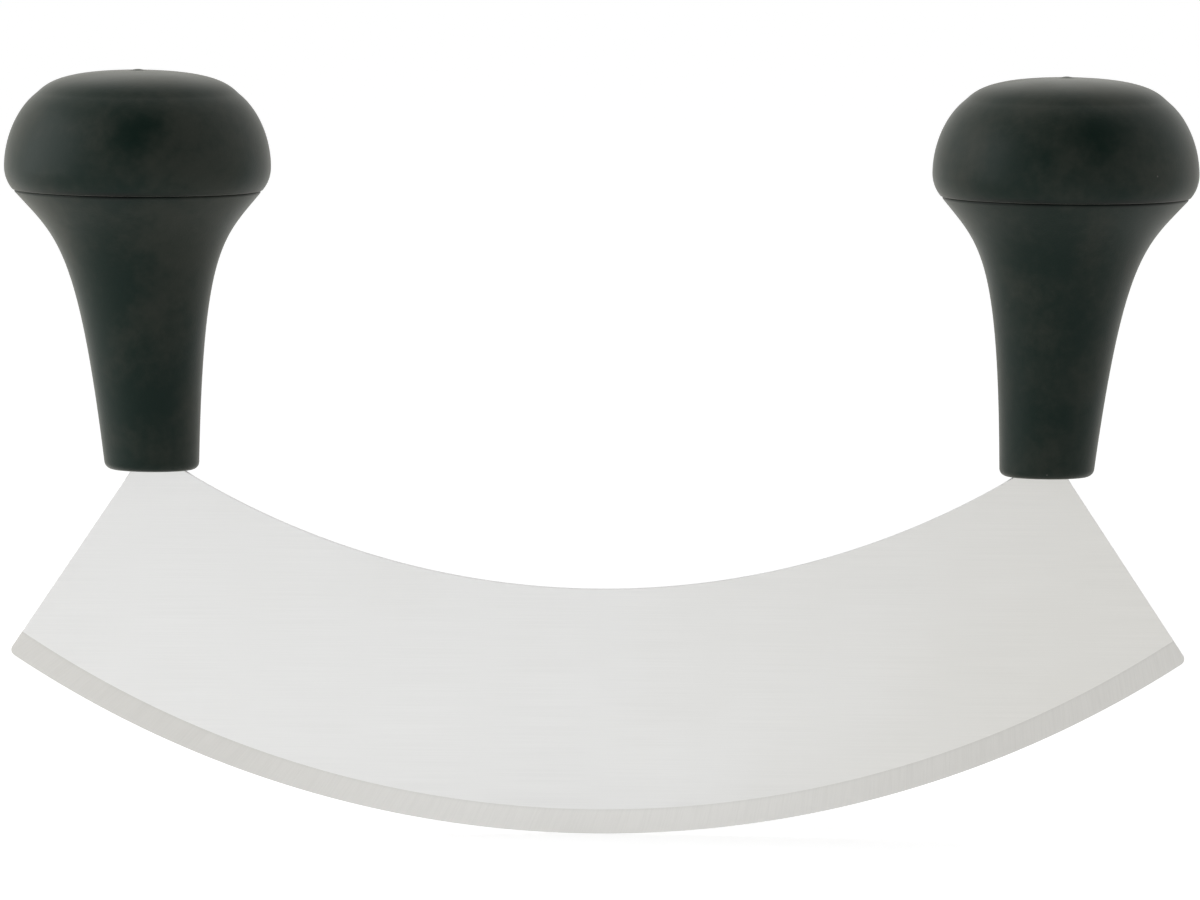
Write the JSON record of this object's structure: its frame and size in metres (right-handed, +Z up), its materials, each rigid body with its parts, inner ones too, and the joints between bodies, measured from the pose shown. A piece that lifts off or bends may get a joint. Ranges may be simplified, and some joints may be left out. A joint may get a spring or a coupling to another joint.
{
  "type": "mezzaluna",
  "caption": "Curved rocking knife with a bevelled steel blade and an upright knob handle at each end, for chopping herbs on a board.",
  "frame": {"origin": "lowest point of the cutting edge, midway along the blade and in the middle of its thickness", "axes": "+X along the blade, +Y square to the blade's flat faces, +Z up from the cutting edge to the knobs"},
  "size_m": [0.1626, 0.0362, 0.1043],
  "materials": {
    "blade_steel": "satin, with a fine grain along the blade and a darker ground bevel",
    "grip_plastic": "black moulded plastic with a soft satin sheen",
    "fastener_steel": "plain spring steel and washer steel"
  },
  "bodies": {
    "root": {"blade": "blade_steel", "left_grip_stem": "grip_plastic", "left_head_cap": "grip_plastic", "left_tang_washer": "fastener_steel", "left_tang_pin": "fastener_steel", "right_grip_stem": "grip_plastic", "right_head_cap": "grip_plastic", "right_tang_washer": "fastener_steel", "right_tang_pin": "fastener_steel"}
  },
  "joints": []
}
